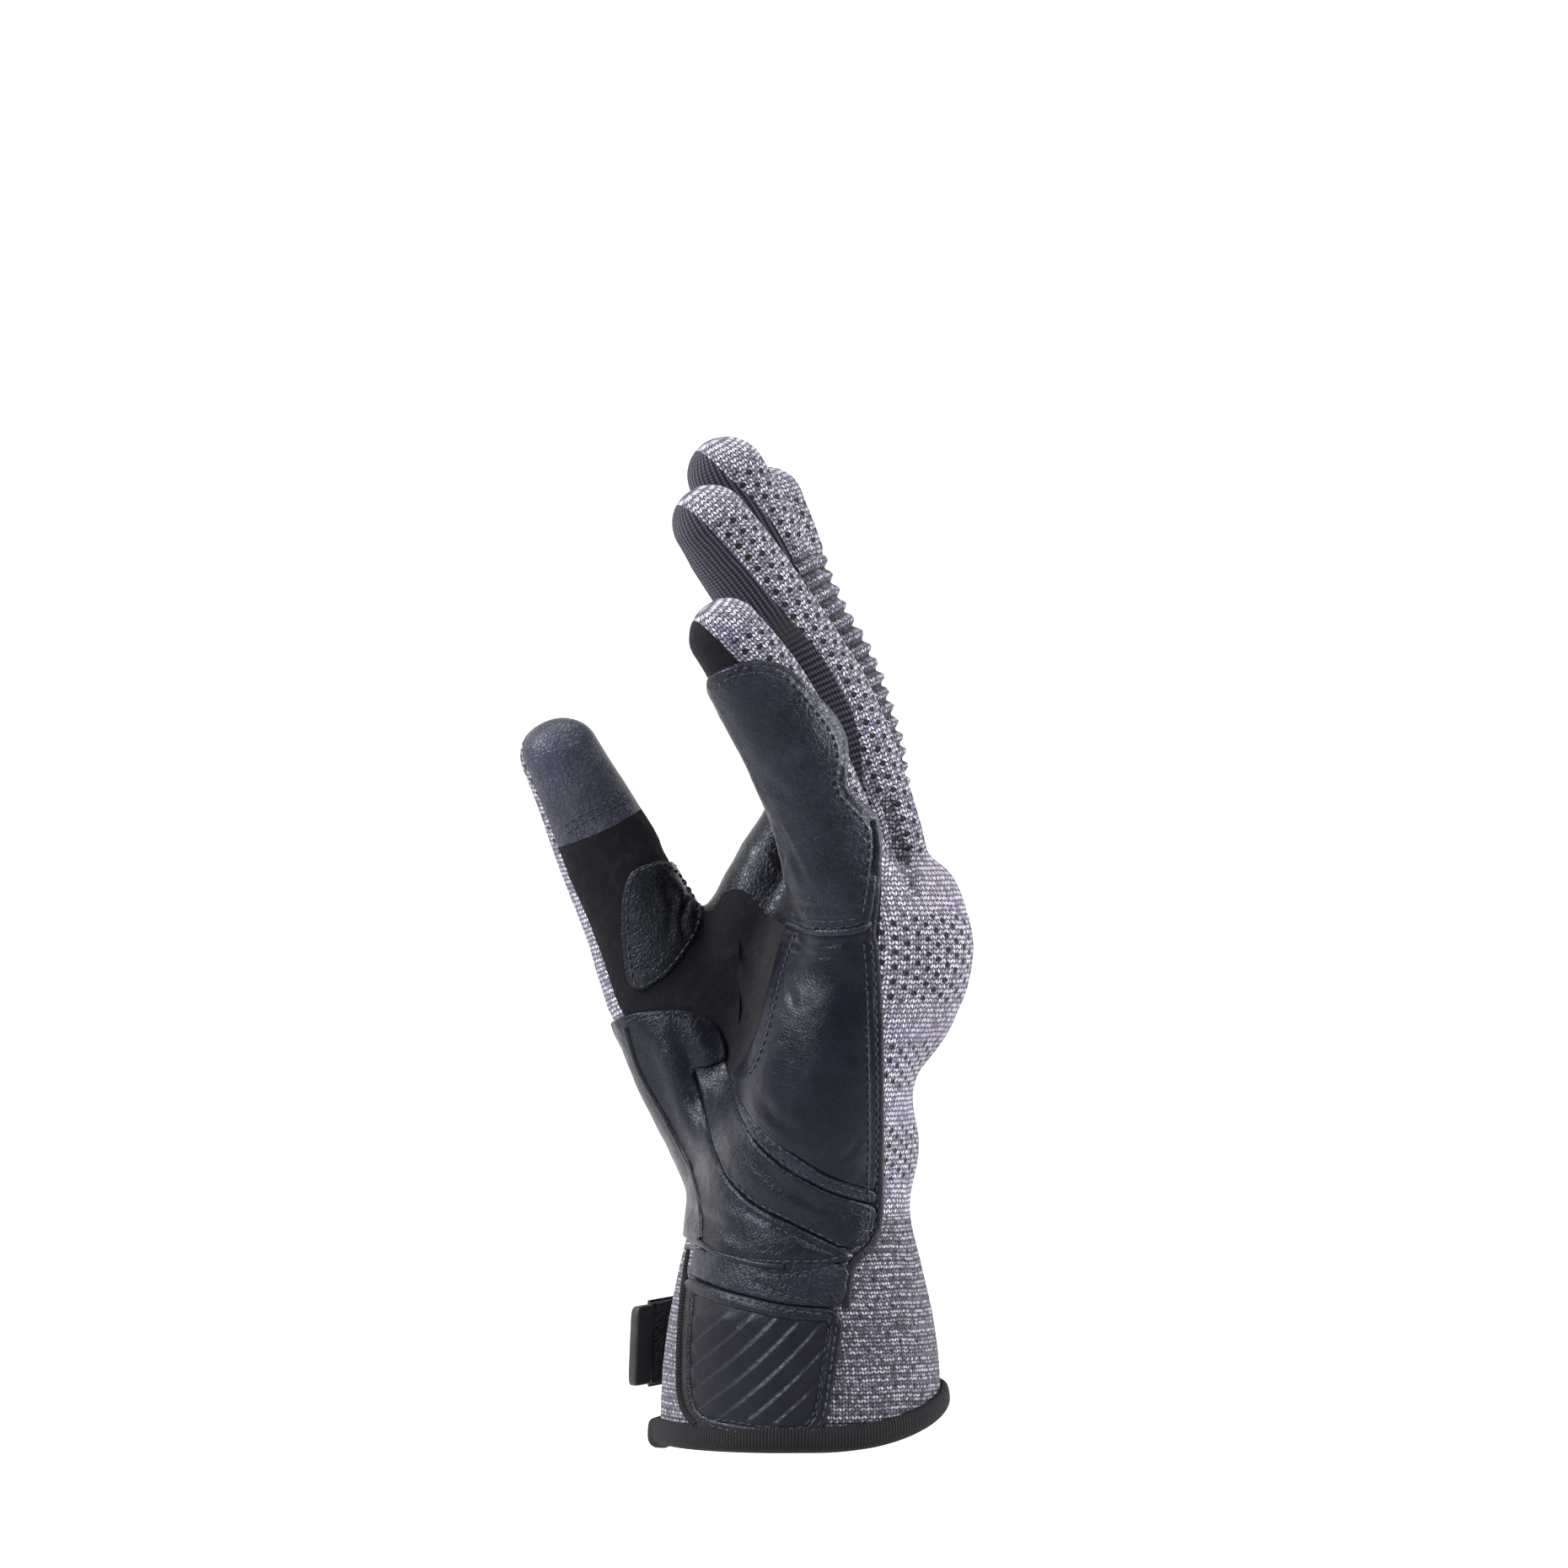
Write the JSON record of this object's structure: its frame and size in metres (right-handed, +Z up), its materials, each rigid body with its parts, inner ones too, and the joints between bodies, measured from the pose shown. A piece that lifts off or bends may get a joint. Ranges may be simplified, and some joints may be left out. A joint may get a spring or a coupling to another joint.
{
  "type": "motorcycle glove",
  "caption": "Short-cuff knit and leather riding glove for the left hand, with padded knuckles, sewn guards and a wrist strap, in its worn form.",
  "frame": {"origin": "centre of the wrist opening at the level of the hem's lowest point", "axes": "+Z up the hand from the hem to the fingertips, +X to the back of the hand, +Y to the thumb side, so the palm faces -X and the little finger is on the -Y side"},
  "size_m": [0.1037, 0.0941, 0.2491],
  "materials": {
    "knit": "matte knit",
    "cuff_knit": "matte rib knit",
    "rib_knit": "matte fine rib",
    "suede": "matte napped suede",
    "leather": "semi-matte smooth leather",
    "heel_leather": "semi-matte grained leather",
    "tip_leather": "satin pebbled leather",
    "tab_leather": "matte moulded synthetic leather",
    "binding": "matte woven tape",
    "strap": "napped hook-and-loop",
    "strap_tip": "satin moulded rubber"
  },
  "bodies": {
    "root": {"back_knit": "knit", "index_knit": "knit", "middle_knit": "knit", "ring_knit": "knit", "little_knit": "knit", "thumb_knit": "knit", "cuff_knit": "cuff_knit", "index_underside": "rib_knit", "middle_underside": "rib_knit", "ring_underside": "rib_knit", "little_underside": "rib_knit", "little_tip": "suede", "palm_suede": "suede", "thumb_suede": "suede", "upper_palm": "leather", "thumb_web": "leather", "little_guard": "leather", "hypothenar_leather": "leather", "heel_band": "leather", "thenar_leather": "leather", "wrist_yoke": "leather", "heel_pad": "heel_leather", "thumb_patch": "tip_leather", "thumb_tip": "tip_leather", "wrist_tab": "tab_leather", "tab_binding": "binding", "hem_tape": "binding", "strap": "strap", "strap_tip": "strap_tip"}
  },
  "joints": []
}
